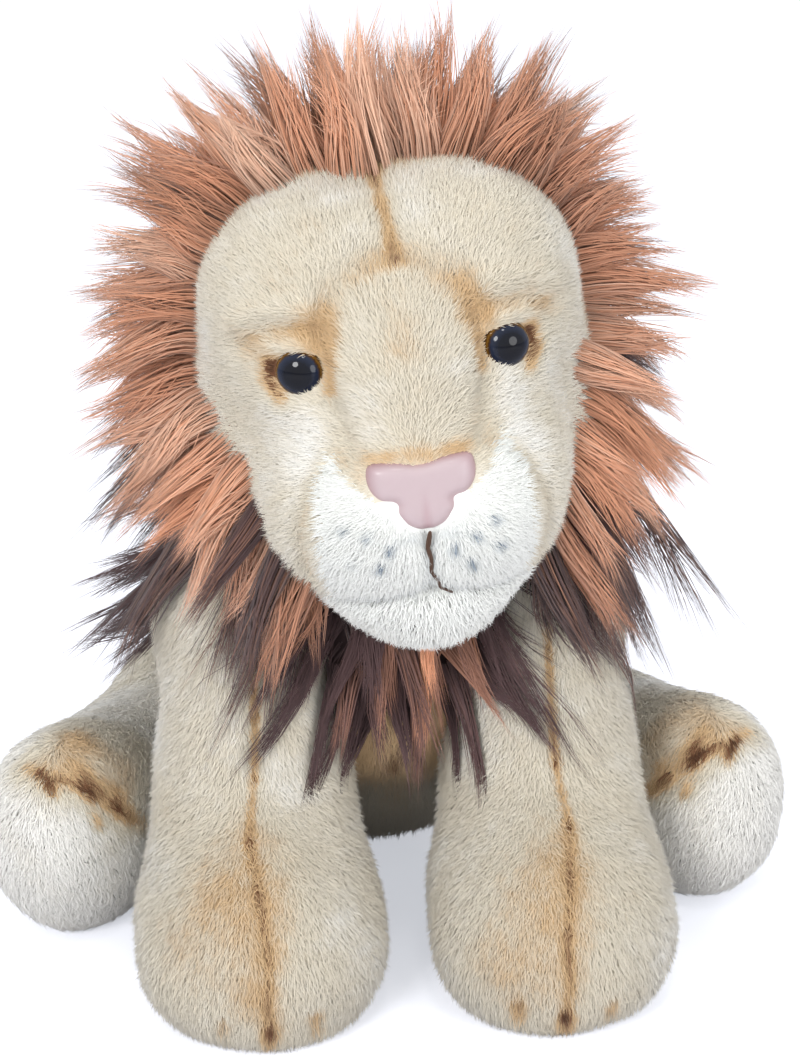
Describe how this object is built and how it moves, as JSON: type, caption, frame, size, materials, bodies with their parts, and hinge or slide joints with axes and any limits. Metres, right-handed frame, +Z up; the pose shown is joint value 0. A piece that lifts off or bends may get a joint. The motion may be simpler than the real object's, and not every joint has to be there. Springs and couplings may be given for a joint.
{
  "type": "plush lion",
  "caption": "Sitting plush lion with stuffed jointed limbs, long-pile rust and dark brown mane, domed eyes, moulded pink nose and curled tail.",
  "frame": {"origin": "on the floor at the middle of the flat seat panel", "axes": "+Z up, the lion faces -Y, +X towards the right of a person who faces it"},
  "size_m": [0.265, 0.2713, 0.3043],
  "materials": {
    "plush_ivory": "short plush pile, tan airbrushing at seams, brows and toes",
    "plush_white": "white plush pile with grey-blue whisker spots",
    "fur_rust": "long rust-orange pile in pointed locks",
    "fur_dark": "long dark brown pile in pointed locks",
    "stuffing": "white polyester fibre filling",
    "bag_cloth": "woven inner bag filled with plastic pellets",
    "thread_brown": "brown embroidery thread",
    "nose_vinyl": "soft satin pink vinyl",
    "eye_gloss": "clear gloss over an amber iris and a black pupil",
    "lock_white": "moulded white lock washers"
  },
  "bodies": {
    "torso": {"back_left_panel": "plush_ivory", "back_right_panel": "plush_ivory", "belly_panel": "plush_ivory", "body_stuffing": "stuffing", "chest_bib": "fur_dark", "pellet_bag": "bag_cloth", "seat_panel": "plush_ivory", "shoulder_cape": "fur_dark"},
    "neck": {"neck_collar": "fur_dark"},
    "head": {"cheek_left_panel": "plush_ivory", "cheek_right_panel": "plush_ivory", "chin_panel": "plush_white", "ear_left": "fur_rust", "ear_right": "fur_rust", "eye_left": "eye_gloss", "eye_left_washer": "lock_white", "eye_right": "eye_gloss", "eye_right_washer": "lock_white", "forehead_left_panel": "plush_ivory", "forehead_right_panel": "plush_ivory", "head_back_panel": "fur_dark", "head_stuffing": "stuffing", "mane_back": "fur_dark", "mane_crown": "fur_rust", "mane_left": "fur_rust", "mane_right": "fur_rust", "mouth_stitch": "thread_brown", "muzzle_left_panel": "plush_white", "muzzle_right_panel": "plush_white", "nose": "nose_vinyl", "nose_bridge_panel": "plush_ivory", "nose_washer": "lock_white"},
    "front_left_leg": {"front_left_leg_inner_panel": "plush_ivory", "front_left_leg_outer_panel": "plush_ivory", "front_left_leg_stuffing": "stuffing", "front_left_paw_sole": "plush_ivory"},
    "front_right_leg": {"front_right_leg_inner_panel": "plush_ivory", "front_right_leg_outer_panel": "plush_ivory", "front_right_leg_stuffing": "stuffing", "front_right_paw_sole": "plush_ivory"},
    "hind_left_leg": {"hind_left_leg_inner_panel": "plush_ivory", "hind_left_leg_outer_panel": "plush_ivory", "hind_left_leg_stuffing": "stuffing", "hind_left_toe_panel": "plush_ivory"},
    "hind_right_leg": {"hind_right_leg_inner_panel": "plush_ivory", "hind_right_leg_outer_panel": "plush_ivory", "hind_right_leg_stuffing": "stuffing", "hind_right_toe_panel": "plush_ivory"},
    "tail": {"tail_cover": "plush_ivory", "tail_stuffing": "stuffing"},
    "tail_tip": {"tail_tuft": "fur_dark"}
  },
  "joints": [
    {"name": "head_turn", "type": "hinge", "parent": "torso", "child": "neck", "pos_m": [0, -0.088, 0.198], "axis": [0, 0, 1], "range_deg": [-20, 20], "stiffness_Nm_per_rad": 0.8},
    {"name": "head_nod", "type": "hinge", "parent": "neck", "child": "head", "pos_m": [0, -0.088, 0.198], "axis": [1, 0, 0], "range_deg": [-4, 6], "stiffness_Nm_per_rad": 1.2},
    {"name": "front_left_leg_swing", "type": "hinge", "parent": "torso", "child": "front_left_leg", "pos_m": [-0.046, -0.086, 0.1122], "axis": [-1, 0, 0], "range_deg": [0, 18], "stiffness_Nm_per_rad": 0.4},
    {"name": "front_right_leg_swing", "type": "hinge", "parent": "torso", "child": "front_right_leg", "pos_m": [0.046, -0.086, 0.1122], "axis": [-1, 0, 0], "range_deg": [0, 18], "stiffness_Nm_per_rad": 0.4},
    {"name": "hind_left_leg_spread", "type": "hinge", "parent": "torso", "child": "hind_left_leg", "pos_m": [-0.06, 0.002, 0.0341], "axis": [0, 0, -1], "range_deg": [0, 18], "stiffness_Nm_per_rad": 0.4},
    {"name": "hind_right_leg_spread", "type": "hinge", "parent": "torso", "child": "hind_right_leg", "pos_m": [0.06, 0.002, 0.0341], "axis": [0, 0, 1], "range_deg": [0, 18], "stiffness_Nm_per_rad": 0.4},
    {"name": "tail_swing", "type": "hinge", "parent": "torso", "child": "tail", "pos_m": [0, 0.049, 0.024], "axis": [0, 0, 1], "range_deg": [-25, 25], "stiffness_Nm_per_rad": 0.08},
    {"name": "tail_tip_curl", "type": "hinge", "parent": "tail", "child": "tail_tip", "pos_m": [0.05428, 0.0903, 0.00925], "axis": [0, 0, 1], "range_deg": [-25, 25], "stiffness_Nm_per_rad": 0.04}
  ]
}
